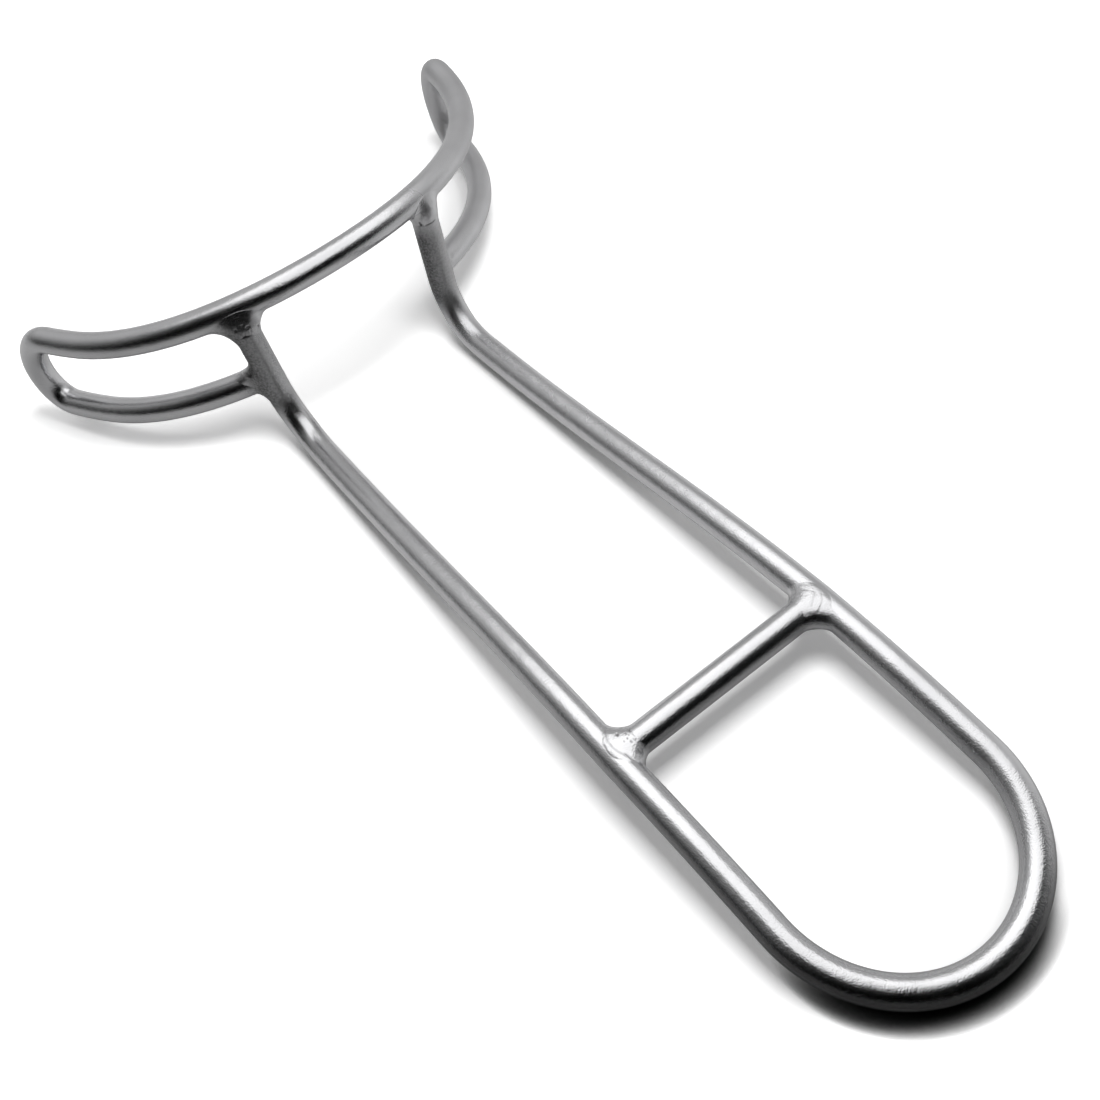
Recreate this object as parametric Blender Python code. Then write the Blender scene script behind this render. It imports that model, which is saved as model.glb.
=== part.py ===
"""Hand-held surgical retractor, a weldment of three round steel rods.

The handle rod is bent into a finger loop whose two shanks run forward, heel over and
rise as uprights.  A crossbar closes the loop.  The head rod is the blade: a curved top
rail that turns back at both ends and returns as two lower rails, one to each upright.
Six fillet welds join the three rods.

Metres, +Z up, +Y towards the head.  The retractor lies on its loop end and heels.
"""
import math

import bmesh
import bpy
import numpy as np
from mathutils import Vector

# Rod stock
ROD_DIAMETER = 0.0050
ROD_RADIUS = ROD_DIAMETER / 2
ROD_RING_STEPS = 6
CAP_MERGE = ROD_DIAMETER / 1000

# Handle, along its centre line.  Y is measured from the crossbar.
HANDLE_HALF_WIDTH = 0.02045
HANDLE_REACH = 0.0551
LOOP_END_DEPTH = 0.0210
CREST_HEIGHT = 0.00615
HEEL_HALF_WIDTH = 0.0186
SHANK_LENGTH = 0.0900
HEEL_BEND_RADIUS = 0.0112
UPRIGHT_PITCH = math.radians(86.4)
UPRIGHT_LEAN = math.radians(2.6)
UPRIGHT_LAP = 0.0015

# Head, along its centre line.  Heights are above the handle's resting centre line.
RAIL_RADIUS = 0.05025
RAIL_SEAT_STEP = 0.00195
TOP_RAIL_HEIGHT = 0.0297
TOP_RAIL_DROP = 0.0094
LOWER_RAIL_HEIGHT = 0.0128
LOWER_RAIL_DROP = 0.0101
DROP_SPAN = 0.0725
ROUND_LENGTH = 0.0540
LOWER_RAIL_END_SPACE = 0.0022

# The two head ends, which were bent by hand and are not quite alike.
LEFT_TOP_LENGTH = 0.0609
LEFT_LOWER_LENGTH = 0.0633
LEFT_END_RADIUS = 0.1515
LEFT_TURN_SHARE = 0.727
RIGHT_TOP_LENGTH = 0.0709
RIGHT_LOWER_LENGTH = 0.0714
RIGHT_END_RADIUS = 0.0465
RIGHT_TURN_SHARE = 0.646

# Welds.  Each is a fillet bead round the rod that ends on another rod.
SEAT_GAP = 0.0003
WELD_THICKNESS = 0.0005
WELD_WRAP = 0.0008
WELD_ROOT = 0.0010
WELD_RING_STEPS = 24
WELD_FACE_STEPS = 8
FIND_STEPS = 40

# Fillet legs on the crossbar's welds, towards the head and away from it, as shares of the
# rod diameter.
CROSSBAR_LEG_SHARES = {
    "weld_crossbar_left": (0.75, 0.55),
    "weld_crossbar_right": (0.50, 0.70),
}

# Fillet legs on the head's welds.  The first is in the slot between the rails, as a share
# of the slot's clear height, and the second is outside it, as a share of the rod diameter.
HEAD_LEG_SHARES = {
    "weld_rail_left": (0.46, 0.80),
    "weld_rail_right": (0.34, 0.45),
    "weld_lower_left": (0.42, 0.50),
    "weld_lower_right": (0.21, 0.65),
}
CROWN_LEG_SHARE = 0.25

# Points on a centre line
LOOP_STEPS = 14
SIDE_STEPS = 6
SHANK_STEPS = 14
HEEL_STEPS = 9
UPRIGHT_STEPS = 3
RAIL_STEPS = 16
TURN_STEPS = 14
LOWER_STEPS = 12
CROSSBAR_STEPS = 8

# Steel
STEEL_COLOUR = (0.56, 0.56, 0.57, 1.0)
STEEL_ROUGHNESS = 0.28
WELD_COLOUR = (0.46, 0.46, 0.47, 1.0)
WELD_ROUGHNESS = 0.40


def clear_scene():
    for item in list(bpy.data.objects):
        bpy.data.objects.remove(item, do_unlink=True)


def steps_between(first, last, count):
    """Evenly spaced values after first, up to and including last."""
    return [first + (last - first) * (i + 1) / count for i in range(count)]


def ease(share):
    """Half a cosine wave, from 0 at the start to 1 at the end."""
    return 0.5 - 0.5 * math.cos(math.pi * min(max(share, 0), 1))


def mirrored(points):
    return [Vector((-p.x, p.y, p.z)) for p in points]


def arched_height(y):
    """The handle arches up to its crest at the crossbar and lies down at both ends."""
    if y < 0:
        return CREST_HEIGHT * (1 - (y / HANDLE_REACH) ** 2)
    return CREST_HEIGHT * (1 - ease(y / SHANK_LENGTH))


def loop_quarter():
    """From the loop's far end round to the straight side."""
    points = []
    for turn in steps_between(0, math.pi / 2, LOOP_STEPS):
        x = HANDLE_HALF_WIDTH * math.sin(turn)
        y = LOOP_END_DEPTH * (1 - math.cos(turn)) - HANDLE_REACH
        points.append(Vector((x, y, arched_height(y))))
    return points


def handle_side():
    """The straight side of the loop, then the shank that tapers in to the heel."""
    points = []
    for y in steps_between(LOOP_END_DEPTH - HANDLE_REACH, 0, SIDE_STEPS):
        points.append(Vector((HANDLE_HALF_WIDTH, y, arched_height(y))))
    for y in steps_between(0, SHANK_LENGTH, SHANK_STEPS):
        x = HANDLE_HALF_WIDTH - (HANDLE_HALF_WIDTH - HEEL_HALF_WIDTH) * y / SHANK_LENGTH
        points.append(Vector((x, y, arched_height(y))))
    return points


def heel_end():
    """Y and Z where the heel bend ends and the straight upright starts."""
    y = SHANK_LENGTH + HEEL_BEND_RADIUS * math.sin(UPRIGHT_PITCH)
    return y, HEEL_BEND_RADIUS * (1 - math.cos(UPRIGHT_PITCH))


def upright_reach(height):
    """How far ahead of the crossbar the uprights are at a height."""
    y, z = heel_end()
    return y + (height - z) / math.tan(UPRIGHT_PITCH)


def heel_and_upright(top):
    """The heel bend and the upright, up to a height given as top."""
    taper = (HANDLE_HALF_WIDTH - HEEL_HALF_WIDTH) / SHANK_LENGTH
    lean = math.tan(UPRIGHT_LEAN) + taper
    lean_start = HEEL_BEND_RADIUS / 2
    points = []

    def add(length, y, z):
        x = HEEL_HALF_WIDTH - taper * length + lean * max(length - lean_start, 0)
        points.append(Vector((x, y, z)))

    for turn in steps_between(0, UPRIGHT_PITCH, HEEL_STEPS):
        y = SHANK_LENGTH + HEEL_BEND_RADIUS * math.sin(turn)
        add(HEEL_BEND_RADIUS * turn, y, HEEL_BEND_RADIUS * (1 - math.cos(turn)))
    bend_length = HEEL_BEND_RADIUS * UPRIGHT_PITCH
    foot_height = heel_end()[1]
    for height in steps_between(foot_height, top, UPRIGHT_STEPS):
        run = (height - foot_height) / math.sin(UPRIGHT_PITCH)
        add(bend_length + run, upright_reach(height), height)
    return points


def handle_line(top):
    """The whole handle rod, from the left upright's top round the loop to the right one's."""
    right = loop_quarter() + handle_side() + heel_and_upright(top)
    apex = Vector((0, -HANDLE_REACH, 0))
    return mirrored(reversed(right)) + [apex] + right


def rail_middle_reach():
    """The rails cross the uprights a step ahead of them."""
    sagitta = RAIL_RADIUS - math.sqrt(RAIL_RADIUS ** 2 - HEEL_HALF_WIDTH ** 2)
    return upright_reach(LOWER_RAIL_HEIGHT) + RAIL_SEAT_STEP - sagitta


def rail_plan(length, end_radius):
    """X and Y of a rail at an arc length from its middle: one round bend, then the end's own."""
    round_part = min(length, ROUND_LENGTH)
    heading = round_part / RAIL_RADIUS
    x = RAIL_RADIUS * math.sin(heading)
    y = RAIL_RADIUS * (1 - math.cos(heading))
    end_heading = heading + (length - round_part) / end_radius
    x += end_radius * (math.sin(end_heading) - math.sin(heading))
    y += end_radius * (math.cos(heading) - math.cos(end_heading))
    return x, rail_middle_reach() + y


def rail_point(length, end_radius, height, drop):
    x, y = rail_plan(length, end_radius)
    return Vector((x, y, height - drop * ease(length / DROP_SPAN)))


def end_turn(first, second, turn_share):
    """The end bend from the top rail's last two points to the lower rail's first two."""
    enter = (first[1] - first[0]).normalized()
    leave = (second[0] - second[1]).normalized()
    middle = (first[1] + second[0]) / 2
    half = (first[1] - second[0]) / 2
    points = []
    for turn in steps_between(0, math.pi, TURN_STEPS)[:-1]:
        outward = (enter * (1 + math.cos(turn)) + leave * (1 - math.cos(turn))).normalized()
        reach = half.length * turn_share * math.sin(turn)
        points.append(middle + half * math.cos(turn) + outward * reach)
    return points


def head_side(top_length, lower_length, end_radius, turn_share):
    """One side of the head rod: top rail outward, end turn, lower rail back to the upright."""
    def top_point(length):
        return rail_point(length, end_radius, TOP_RAIL_HEIGHT, TOP_RAIL_DROP)

    def lower_point(length):
        return rail_point(length, end_radius, LOWER_RAIL_HEIGHT, LOWER_RAIL_DROP)

    stop = RAIL_RADIUS * math.asin((HEEL_HALF_WIDTH + LOWER_RAIL_END_SPACE) / RAIL_RADIUS)
    top = [top_point(length) for length in steps_between(0, top_length, RAIL_STEPS)]
    lower = [lower_point(length) for length in steps_between(lower_length, stop, LOWER_STEPS)]
    lower.insert(0, lower_point(lower_length))
    return top + end_turn(top[-2:], lower[:2], turn_share) + lower


def head_line():
    """The whole head rod, from the left lower rail's end round to the right one's."""
    left = head_side(LEFT_TOP_LENGTH, LEFT_LOWER_LENGTH, LEFT_END_RADIUS, LEFT_TURN_SHARE)
    right = head_side(RIGHT_TOP_LENGTH, RIGHT_LOWER_LENGTH, RIGHT_END_RADIUS, RIGHT_TURN_SHARE)
    middle = rail_point(0, RIGHT_END_RADIUS, TOP_RAIL_HEIGHT, TOP_RAIL_DROP)
    return mirrored(reversed(left)) + [middle] + right


def crossbar_line():
    places = steps_between(-HANDLE_HALF_WIDTH, HANDLE_HALF_WIDTH, CROSSBAR_STEPS)
    return [Vector((x, 0, CREST_HEIGHT)) for x in [-HANDLE_HALF_WIDTH] + places]


def placed(lines):
    """The lines moved so that the part stands centred on the origin, on the ground."""
    points = [p for line in lines for p in line]
    low_x, high_x = min(p.x for p in points), max(p.x for p in points)
    low_y, high_y = min(p.y for p in points), max(p.y for p in points)
    shift = Vector((-(low_x + high_x) / 2, -(low_y + high_y) / 2, ROD_RADIUS))
    return [[p + shift for p in line] for line in lines]


def rod(name, line, radius):
    """A round rod along a centre line, with flat ends."""
    curve = bpy.data.curves.new(name + "_line", "CURVE")
    curve.dimensions = "3D"
    curve.bevel_depth = radius
    curve.bevel_resolution = ROD_RING_STEPS
    curve.use_fill_caps = True
    spline = curve.splines.new("POLY")
    spline.points.add(len(line) - 1)
    for point, place in zip(spline.points, line):
        point.co = (*place, 1)
    drawn = bpy.data.objects.new(name + "_line", curve)
    bpy.context.scene.collection.objects.link(drawn)
    seen = drawn.evaluated_get(bpy.context.evaluated_depsgraph_get())
    mesh = bpy.data.meshes.new_from_object(seen)
    bpy.data.objects.remove(drawn, do_unlink=True)
    join_caps(mesh)
    return mesh_object(name, mesh)


def join_caps(mesh):
    """A curve's end caps are loose discs until they are merged with the tube."""
    shape = bmesh.new()
    shape.from_mesh(mesh)
    bmesh.ops.remove_doubles(shape, verts=shape.verts, dist=CAP_MERGE)
    shape.to_mesh(mesh)
    shape.free()


def mesh_object(name, mesh):
    mesh.name = name
    mesh.shade_smooth()
    mesh.set_sharp_from_angle(angle=math.radians(50))
    item = bpy.data.objects.new(name, mesh)
    bpy.context.scene.collection.objects.link(item)
    return item


def cutter(name, line):
    """A rod grown by the seat gap, which only cuts."""
    item = rod(name, line, ROD_RADIUS + SEAT_GAP)
    item.hide_render = True
    item.display_type = "WIRE"
    return item


def cut(item, tool):
    modifier = item.modifiers.new("Cut by " + tool.name, "BOOLEAN")
    modifier.operation = "DIFFERENCE"
    modifier.solver = "EXACT"
    modifier.object = tool


def axis_offsets(points, line):
    """From each point to the nearest place on a centre line."""
    starts = np.array(line[:-1])
    runs = np.array(line[1:]) - starts
    reach = points[:, None] - starts[None]
    share = np.einsum("psk,sk->ps", reach, runs) / np.einsum("sk,sk->s", runs, runs)
    offsets = runs[None] * np.clip(share, 0, 1)[..., None] - reach
    best = np.argmin(np.linalg.norm(offsets, axis=2), axis=1)
    return offsets[np.arange(len(points)), best]


def rod_distance(points, line):
    return np.linalg.norm(axis_offsets(points, line), axis=1) - ROD_RADIUS


def blended(first, second, leg):
    """The distance to two rods with a fillet of the given leg between them."""
    overlap = np.maximum(leg - np.abs(first - second), 0)
    return np.minimum(first, second) - overlap ** 2 / (4 * leg)


def lengths_along(line):
    return np.concatenate([[0], np.cumsum(np.linalg.norm(np.diff(line, axis=0), axis=1))])


def places_at(line, lengths):
    """The places on a centre line at the given lengths from its first point."""
    marks = lengths_along(line)
    return np.stack([np.interp(lengths, marks, line[:, axis]) for axis in range(3)], axis=-1)


def length_nearest(line, place):
    """The length along a centre line at its point nearest to a place."""
    foot = place + axis_offsets(place[None], line)[0]
    index = np.argmin(np.linalg.norm(line - foot, axis=1))
    run = line[min(index + 1, len(line) - 1)] - line[index - 1]
    return lengths_along(line)[index] + (foot - line[index]).dot(run) / np.linalg.norm(run)


def unit(vectors):
    return vectors / np.linalg.norm(vectors, axis=-1, keepdims=True)


def cast(starts, rays, joining, receiver, leg):
    """The bead's surface along rays that start inside the rods."""
    reach = np.zeros(len(rays))
    for _ in range(FIND_STEPS):
        points = starts + rays * reach[:, None]
        gap = blended(rod_distance(points, joining), rod_distance(points, receiver), leg)
        reach += WELD_THICKNESS - gap
    return starts + rays * reach[:, None]


def rooted(points, line):
    """The points sunk into the rod that they lie on, for the bead's buried edge."""
    return points + unit(axis_offsets(points, line)) * (WELD_THICKNESS + WELD_ROOT)


def weld_legs(name):
    """A weld's fillet legs on its first and second side."""
    if name in CROSSBAR_LEG_SHARES:
        return [ROD_DIAMETER * share for share in CROSSBAR_LEG_SHARES[name]]
    slot_share, rod_share = HEAD_LEG_SHARES[name]
    slot_height = TOP_RAIL_HEIGHT - LOWER_RAIL_HEIGHT - ROD_DIAMETER
    return [slot_height * slot_share, ROD_DIAMETER * rod_share]


def bead_rings(joining, receiver, crossing, seat_length, legs):
    """Rings of a bead, from its edge on the joining rod to its edge on the receiver.

    Each ring's rays start on the joining rod's centre line and face away from it, and
    swing over to start on the receiver's centre line and face away from that.
    """
    out = unit(joining[1] - joining[0])
    seat = places_at(receiver, seat_length)
    along = unit(places_at(receiver, seat_length + ROD_RADIUS) - seat)
    across = unit(np.cross(out, along))
    angle = np.arange(WELD_RING_STEPS) * 2 * math.pi / WELD_RING_STEPS
    side = np.cos(angle) ** 2
    side_leg = np.where(np.cos(angle) > 0, *legs)
    climb = sum(legs) / 2 * (1 - side) + side_leg * side
    leg = ROD_DIAMETER * CROWN_LEG_SHARE * (1 - side) + side_leg * side

    first_starts = places_at(joining, crossing + ROD_RADIUS + climb)
    first_rays = unit(np.outer(np.cos(angle), np.cross(across, out)) + np.outer(np.sin(angle), across))
    last_starts = places_at(receiver, seat_length + np.cos(angle) * (ROD_RADIUS + side_leg))
    lift = side - WELD_WRAP / ROD_RADIUS * (1 - side)
    last_rays = unit(np.outer(lift, out) + np.outer(np.sin(angle), across))
    centre = (joining[0] + seat) / 2

    rings = []
    for step in range(WELD_FACE_STEPS + 1):
        share = step / WELD_FACE_STEPS
        starts = (first_starts * (1 - share) ** 2 + centre * 2 * share * (1 - share)
                  + last_starts * share ** 2)
        rays = unit(first_rays * (1 - share) + last_rays * share)
        rings.append(cast(starts, rays, joining, receiver, leg))
    return [rooted(rings[0], joining)] + rings + [rooted(rings[-1], receiver)]


def weld(name, joining_line, receiving_line, facing, tools):
    """A fillet bead where the first point of the joining line meets the receiving line."""
    joining = np.array(joining_line)
    receiver = np.array(receiving_line)
    legs = weld_legs(name)
    seat_length = length_nearest(receiver, joining[0])
    run = places_at(receiver, seat_length + ROD_RADIUS) - places_at(receiver, seat_length)
    if run.dot(facing) < 0:
        receiver = receiver[::-1]
        seat_length = length_nearest(receiver, joining[0])
    seat = places_at(receiver, seat_length)
    crossing = (seat - joining[0]).dot(unit(joining[1] - joining[0]))
    rings = bead_rings(joining, receiver, crossing, seat_length, legs)

    shape = bmesh.new()
    loops = [[shape.verts.new(place) for place in ring] for ring in rings]
    for upper, lower in zip(loops, loops[1:]):
        for i in range(WELD_RING_STEPS):
            j = (i + 1) % WELD_RING_STEPS
            shape.faces.new((upper[i], lower[i], lower[j], upper[j]))
    close_with_fan(shape, loops[0], places_at(joining, crossing + ROD_RADIUS + sum(legs) / 2))
    close_with_fan(shape, loops[-1], seat)
    bmesh.ops.recalc_face_normals(shape, faces=shape.faces)
    mesh = bpy.data.meshes.new(name)
    shape.to_mesh(mesh)
    shape.free()
    item = mesh_object(name, mesh)
    for tool in tools:
        cut(item, tool)
    paint(item, WELD_COLOUR, WELD_ROUGHNESS)


def close_with_fan(shape, loop, tip):
    top = shape.verts.new(tip)
    for i, vert in enumerate(loop):
        shape.faces.new((vert, loop[(i + 1) % len(loop)], top))


def paint(item, colour, roughness):
    material = bpy.data.materials.new(item.name)
    material.use_nodes = True
    shader = material.node_tree.nodes["Principled BSDF"]
    shader.inputs["Base Color"].default_value = colour
    shader.inputs["Metallic"].default_value = 1.0
    shader.inputs["Roughness"].default_value = roughness
    item.data.materials.clear()
    item.data.materials.append(material)


def steel_rod(name, line, tools):
    item = rod(name, line, ROD_RADIUS)
    for tool in tools:
        cut(item, tool)
    paint(item, STEEL_COLOUR, STEEL_ROUGHNESS)
    return item


def build():
    clear_scene()
    rail_over_upright = rail_point(HEEL_HALF_WIDTH, RIGHT_END_RADIUS, TOP_RAIL_HEIGHT, TOP_RAIL_DROP)
    upright_top = rail_over_upright.z - ROD_RADIUS + UPRIGHT_LAP
    lower_gap_top = (TOP_RAIL_HEIGHT + LOWER_RAIL_HEIGHT) / 2
    handle, short_handle, head, crossbar = placed(
        [handle_line(upright_top), handle_line(lower_gap_top), head_line(), crossbar_line()])

    handle_cutter = cutter("handle_cutter", short_handle)
    head_cutter = cutter("head_cutter", head)
    crossbar_cutter = cutter("crossbar_cutter", crossbar)
    whole_handle_cutter = cutter("whole_handle_cutter", handle)

    steel_rod("handle_rod", handle, [head_cutter])
    steel_rod("crossbar", crossbar, [handle_cutter])
    steel_rod("head_rod", head, [handle_cutter])

    forward = Vector((0, 1, 0))
    up = Vector((0, 0, 1))
    outward = Vector((1, 0, 0))
    loop_rods = [handle_cutter, crossbar_cutter]
    head_rods = [whole_handle_cutter, head_cutter]
    weld("weld_crossbar_left", crossbar, handle, forward, loop_rods)
    weld("weld_crossbar_right", crossbar[::-1], handle, forward, loop_rods)
    weld("weld_rail_left", handle, head, -outward, head_rods)
    weld("weld_rail_right", handle[::-1], head, outward, head_rods)
    weld("weld_lower_left", head, short_handle, up, head_rods)
    weld("weld_lower_right", head[::-1], short_handle, up, head_rods)


build()
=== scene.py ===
import math

import bmesh
import bpy
import numpy as np
from mathutils import Euler, Matrix, Vector, noise


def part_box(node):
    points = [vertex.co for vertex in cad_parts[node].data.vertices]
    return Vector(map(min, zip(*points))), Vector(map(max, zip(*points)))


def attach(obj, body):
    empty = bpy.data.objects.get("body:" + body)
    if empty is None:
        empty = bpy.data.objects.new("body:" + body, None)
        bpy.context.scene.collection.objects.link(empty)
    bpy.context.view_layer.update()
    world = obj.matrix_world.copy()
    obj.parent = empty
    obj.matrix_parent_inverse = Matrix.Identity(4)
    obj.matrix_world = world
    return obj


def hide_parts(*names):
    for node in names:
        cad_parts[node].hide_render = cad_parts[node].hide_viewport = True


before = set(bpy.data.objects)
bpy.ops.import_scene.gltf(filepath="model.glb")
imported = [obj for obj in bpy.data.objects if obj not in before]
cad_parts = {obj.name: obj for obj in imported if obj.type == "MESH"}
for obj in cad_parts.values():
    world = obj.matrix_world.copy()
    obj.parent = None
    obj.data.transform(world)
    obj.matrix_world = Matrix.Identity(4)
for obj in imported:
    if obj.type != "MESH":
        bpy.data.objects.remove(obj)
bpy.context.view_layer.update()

# Rod stock
ROD_DIAMETER = 0.0050
ROD_RADIUS = ROD_DIAMETER / 2
RING_STEPS = 64

# Handle, along its centre line.  Y is measured from the crossbar.  The uprights stop a
# step below the top rail, where the weld skins bridge them.
HANDLE_HALF_WIDTH = 0.02045
HANDLE_REACH = 0.0551
LOOP_END_DEPTH = 0.0210
CREST_HEIGHT = 0.00615
HEEL_HALF_WIDTH = 0.0186
SHANK_LENGTH = 0.0900
HEEL_BEND_RADIUS = 0.0112
UPRIGHT_PITCH = math.radians(86.4)
UPRIGHT_LEAN = math.radians(2.6)
UPRIGHT_STOP = 0.0010

# Head, along its centre line.  Heights are above the handle's resting centre line.
RAIL_RADIUS = 0.05025
RAIL_SEAT_STEP = 0.00195
TOP_RAIL_HEIGHT = 0.0297
TOP_RAIL_DROP = 0.0094
LOWER_RAIL_HEIGHT = 0.0128
LOWER_RAIL_DROP = 0.0101
DROP_SPAN = 0.0725
ROUND_LENGTH = 0.0540
LOWER_RAIL_END_SPACE = 0.0022

# The two head ends: lengths of the top and the lower rail, radius of the end's own
# bend, and how far the end turn reaches as a share of half its height.
LEFT_TOP_LENGTH = 0.0609
LEFT_LOWER_LENGTH = 0.0633
LEFT_END_RADIUS = 0.1515
LEFT_TURN_SHARE = 0.727
RIGHT_TOP_LENGTH = 0.0709
RIGHT_LOWER_LENGTH = 0.0714
RIGHT_END_RADIUS = 0.0465
RIGHT_TURN_SHARE = 0.646

# Points on a centre line
LOOP_STEPS = 60
SIDE_STEPS = 30
SHANK_STEPS = 80
HEEL_STEPS = 40
UPRIGHT_STEPS = 16
RAIL_STEPS = 90
TURN_STEPS = 70
LOWER_STEPS = 70
CROSSBAR_STEPS = 40

# Weld skins
SKIN_RING_STEPS = 144
SKIN_FACE_STEPS = 80
FIND_STEPS = 26
SKIN_SINK = 0.00008
SKIN_ROOT = 0.0010
EDGE_SHARE = 0.40
NEAR_JOINT = 0.016
LUMP_SIZE = 0.0016
LUMP_HEIGHT = 0.000035
LUMP_SMOOTHNESS = 1.0
LUMP_LACUNARITY = 2.0
LUMP_OCTAVES = 2
GRIT_SIZE = 0.0005
GRIT_HEIGHT = 0.000012

# What a weld skin is drawn from: fillet legs on its first and second side and over its
# crown, as shares of the rod diameter, how far it laps over the receiving rod's sides, the
# height of its bead, and how far from the crossing the joining rod starts to count, as a
# share of the rod radius.  The first side faces the head on the crossbar, outward on the
# top rail and up on an upright.
WELD_SHAPES = {
    "weld_crossbar_left": {"leg_shares": (0.75, 0.60), "crown_share": 0.60, "lap_share": 0.55,
                           "height": 0.00004, "start_share": 1.5},
    "weld_crossbar_right": {"leg_shares": (0.60, 0.80), "crown_share": 0.60, "lap_share": 0.55,
                            "height": 0.00005, "start_share": 1.5},
    "weld_rail_left": {"leg_shares": (1.15, 0.80), "crown_share": 0.60, "lap_share": 0.35,
                       "height": 0.00004, "start_share": 0.3},
    "weld_rail_right": {"leg_shares": (0.85, 0.45), "crown_share": 0.60, "lap_share": 0.35,
                        "height": 0.00004, "start_share": 0.3},
    "weld_lower_left": {"leg_shares": (1.05, 0.50), "crown_share": 0.40, "lap_share": 0.20,
                        "height": 0.00008, "start_share": 0.9},
    "weld_lower_right": {"leg_shares": (0.55, 0.70), "crown_share": 0.40, "lap_share": 0.20,
                         "height": 0.00006, "start_share": 0.9},
}

# Marks on the welds, placed by the photograph's pixels: a line of points, half its width
# in pixels, its depth (a ridge is negative) and how dark it is, from 0 to 1.  The darkness
# is painted shade in the pits and grooves.
PHOTO_PIXELS = 1100
WELD_MARKS = {
    "weld_crossbar_left": (
        (((604.5, 731.3), (606.6, 740), (612, 747), (618.5, 752), (627, 756), (635, 762), (640, 768)),
         1.2, 0.000040, 0.35),
        (((585, 722.6), (588, 730)), 1.6, -0.000036, 0.0),
        (((596, 738), (601, 744.5)), 2, -0.000054, 0.0),
        (((625, 754), (632.5, 759.5)), 1.0, 0.000050, 0.7),
        (((640, 729), (641.5, 748), (643.5, 766)), 1.6, 0.000031, 0.1),
        (((616.8, 734.1), (617.2, 734.6)), 1.1, 0.000132, 0.9),
        (((629.5, 730.2), (630, 730.8)), 1, 0.000108, 0.8),
        (((634, 733.5), (635, 735)), 0.9, 0.000108, 0.8),
        (((636, 739), (635.5, 740)), 0.9, 0.000096, 0.7),
        (((631, 741), (632, 742)), 1, 0.000084, 0.6),
        (((621, 728), (621.5, 728.4)), 0.9, 0.000072, 0.5),
        (((625.5, 733.5), (625.9, 733.9)), 0.8, 0.000070, 0.8),
        (((627.4, 738.0), (627.6, 738.6)), 0.8, 0.000080, 0.8),
        (((624.0, 741.2), (624.4, 741.6)), 0.7, 0.000060, 0.6),
        (((632.6, 730.0), (633.0, 730.4)), 0.7, 0.000060, 0.7),
        (((628.4, 734.4), (628.8, 734.8)), 0.7, 0.000070, 0.7),
        (((633.4, 738.8), (633.8, 739.2)), 0.7, 0.000060, 0.6),
    ),
    "weld_crossbar_right": (
        (((812.6, 592.5), (810.5, 598), (808.3, 604.4)), 1.2, -0.00003, 0.0),
        (((815.5, 592), (813.5, 599), (811.5, 606)), 1.0, 0.000024, 0.2),
        (((821.3, 592.5), (822.4, 600), (819, 611)), 1.0, 0.000028, 0.25),
        (((791.6, 608.8), (796, 612), (800.7, 616.8)), 1.1, 0.000030, 0.3),
        (((795, 606), (801, 611)), 1.2, -0.000045, 0.0),
        (((794, 580.6), (792, 592.5), (790.3, 606.6)), 1.6, 0.000041, 0.15),
        (((827, 598), (827.5, 599)), 4.6, -0.000072, 0.0),
        (((831.7, 604.4), (832, 605)), 1, 0.00012, 0.9),
        (((798, 583), (808, 585)), 1, 0.000027, 0.1),
        (((798, 588), (809, 590)), 1, 0.000027, 0.1),
        (((797, 593.5), (806, 595.5)), 1, 0.000027, 0.1),
    ),
    "weld_rail_left": (
        (((228.2, 316.2), (233.4, 314.9), (238.5, 314.5)), 0.7, -0.00002, 0.0),
        (((227, 318.4), (233.4, 317.2), (239, 316.8)), 0.9, 0.00006, 0.5),
        (((235.4, 330.2), (236, 331.4)), 1.3, 0.000132, 1.0),
        (((241.6, 326.0), (242.2, 327.4)), 1.2, 0.00012, 0.9),
        (((247.0, 327.6), (248.6, 326.6)), 1.4, 0.000132, 1.0),
        (((251.0, 330.5), (251.4, 332.0)), 1, 0.000084, 0.7),
        (((258.6, 325.6), (258.8, 326.4)), 1.2, 0.00012, 0.9),
        (((237.4, 339.8), (240, 341.2), (242.6, 343.8)), 1.5, 0.000132, 1.0),
        (((244.5, 334.5), (245.6, 336.5)), 0.9, 0.000072, 0.6),
    ),
    "weld_lower_left": (
        (((248.9, 359.9), (251, 361.5), (253.5, 363.3)), 1.3, 0.000084, 0.7),
        (((243.7, 373), (246, 375.8), (248.9, 377.6)), 1.2, -0.000135, 0.0),
        (((249.6, 373.6), (250.6, 376.4)), 2.2, 0.00027, 1.0),
        (((262.4, 374.2), (262.8, 375.4)), 1.2, 0.000108, 0.8),
        (((270.7, 378.2), (271.8, 385.1), (275.8, 389.7)), 1.2, -0.000045, 0.0),
        (((272.8, 384.5), (275.4, 388.6)), 1, 0.000084, 0.6),
        (((238.5, 386.2), (239.5, 390), (240.8, 393.1)), 1.2, 0.000096, 0.8),
        (((254.6, 397.2), (261.5, 396.6)), 1.2, 0.00006, 0.8),
        (((256.5, 352), (260, 357.5)), 1.2, 0.000027, 0.4),
    ),
    "weld_rail_right": (
        (((419.5, 223), (421.5, 226)), 1.2, 0.000108, 0.9),
        (((423, 229), (422.6, 232.5)), 1.2, 0.00012, 1.0),
        (((427.5, 225.5), (428.2, 227)), 1, 0.000084, 0.8),
        (((426, 235.5), (428.5, 239)), 1.2, 0.000108, 0.9),
        (((413, 206), (417, 212)), 1.2, -0.000036, 0.0),
        (((430.5, 231), (431, 232.5)), 0.9, 0.000072, 0.6),
    ),
    "weld_lower_right": (
        (((447, 243), (451, 241)), 1.6, -0.000045, 0.0),
        (((441.5, 262), (442.5, 266)), 1.2, 0.000072, 0.6),
        (((452, 251), (449, 256)), 1.4, -0.000036, 0.0),
    ),
}
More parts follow.
